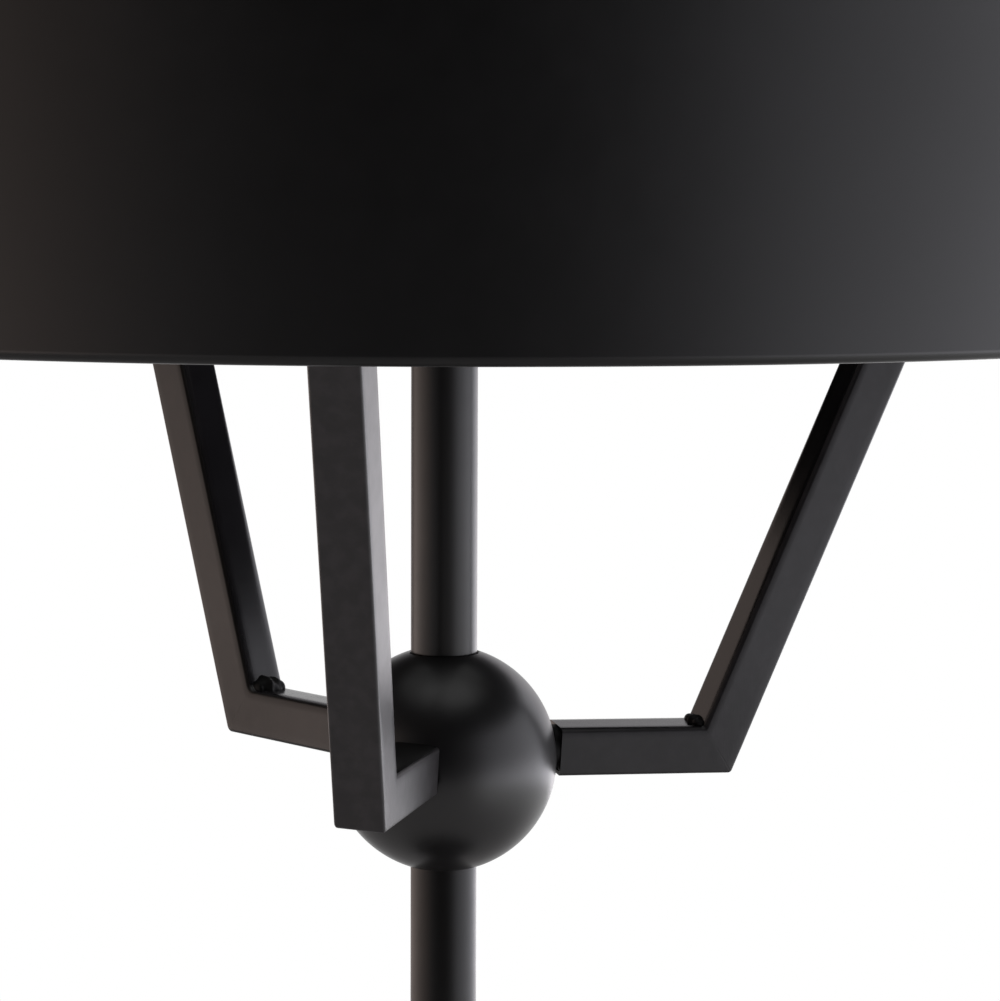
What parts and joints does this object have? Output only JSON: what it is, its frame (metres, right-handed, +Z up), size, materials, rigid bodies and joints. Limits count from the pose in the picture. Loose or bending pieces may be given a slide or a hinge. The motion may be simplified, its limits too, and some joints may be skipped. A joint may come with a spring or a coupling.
{
  "type": "table lamp",
  "caption": "Table lamp with a steel drum shade, a ball hub and mitred square arms that carry turn-key lamp holders under the shade.",
  "frame": {"origin": "centre of the base on the table, below the stem", "axes": "+Z up along the stem; the front arm points along -Y; the cord inlet is at the back, +Y"},
  "size_m": [0.43, 0.43, 0.728],
  "materials": {
    "satin_black": "satin black powder coat",
    "cast_iron": "raw casting",
    "zinc_steel": "zinc plated",
    "brass": "bright",
    "insulator": "moulded phenolic",
    "key_plastic": "moulded, glossy",
    "rubber": "matt",
    "bulb_glass": "opal",
    "bulb_cap": "bright",
    "lead": "soft sheath"
  },
  "bodies": {
    "stand": {"base_cover": "satin_black", "base_weight": "cast_iron", "bottom_plate": "zinc_steel", "base_feet": "rubber", "plate_screws": "zinc_steel", "base_washer": "zinc_steel", "base_nut": "zinc_steel", "cord_inlet": "insulator", "base_collar": "satin_black", "lower_stem": "satin_black", "upper_stem": "satin_black", "lamp_rod": "zinc_steel", "ball_hub": "satin_black", "corner_welds": "satin_black", "foot_plugs": "zinc_steel", "hub_washers": "satin_black", "hub_nipples": "zinc_steel", "arm_seats": "satin_black", "holder_nipples": "zinc_steel", "holder_caps": "satin_black", "holder_shells": "satin_black", "holder_insulators": "insulator", "screw_shells": "brass", "centre_contacts": "brass", "arm_leads": "lead", "stem_cap": "satin_black", "top_nut": "zinc_steel", "arm_foot_front": "satin_black", "arm_riser_front": "satin_black", "arm_foot_right": "satin_black", "arm_riser_right": "satin_black", "arm_foot_left": "satin_black", "arm_riser_left": "satin_black"},
    "shade": {"shade_drum": "satin_black", "spider_hub": "satin_black", "spider_spokes": "satin_black"},
    "finial": {"finial": "satin_black"},
    "key_front": {"switch_key_front": "key_plastic", "switch_spindle_front": "brass"},
    "bulb_front": {"bulb_cap_front": "bulb_cap", "bulb_glass_front": "bulb_glass"},
    "key_right": {"switch_key_right": "key_plastic", "switch_spindle_right": "brass"},
    "bulb_right": {"bulb_cap_right": "bulb_cap", "bulb_glass_right": "bulb_glass"},
    "key_left": {"switch_key_left": "key_plastic", "switch_spindle_left": "brass"},
    "bulb_left": {"bulb_cap_left": "bulb_cap", "bulb_glass_left": "bulb_glass"}
  },
  "joints": [
    {"name": "shade_lift", "type": "slide", "parent": "stand", "child": "shade", "axis": [0, 0, 1], "range_m": [0, 0.2]},
    {"name": "finial_turn", "type": "hinge", "parent": "shade", "child": "finial", "pos_m": [0, 0, 0.7], "axis": [0, 0, 1], "continuous": true},
    {"name": "key_front_turn", "type": "hinge", "parent": "stand", "child": "key_front", "pos_m": [0.00635, -0.1355, 0.5591], "axis": [-0.0002, 1, -0.0089], "continuous": true},
    {"name": "bulb_front_turn", "type": "hinge", "parent": "stand", "child": "bulb_front", "pos_m": [0.00784, -0.13513, 0.60107], "axis": [0.0356, 0.0089, 0.9993], "continuous": true},
    {"name": "key_right_turn", "type": "hinge", "parent": "stand", "child": "key_right", "pos_m": [0.12496, 0.0701, 0.55305], "axis": [-0.8654, -0.4998, 0.0352], "continuous": true},
    {"name": "bulb_right_turn", "type": "hinge", "parent": "stand", "child": "bulb_right", "pos_m": [0.12646, 0.07047, 0.59502], "axis": [0.0356, 0.0089, 0.9993], "continuous": true},
    {"name": "key_left_turn", "type": "hinge", "parent": "stand", "child": "key_left", "pos_m": [-0.11233, 0.07014, 0.56149], "axis": [0.8656, -0.5001, -0.0264], "continuous": true},
    {"name": "bulb_left_turn", "type": "hinge", "parent": "stand", "child": "bulb_left", "pos_m": [-0.11083, 0.07051, 0.60347], "axis": [0.0356, 0.0089, 0.9993], "continuous": true}
  ]
}
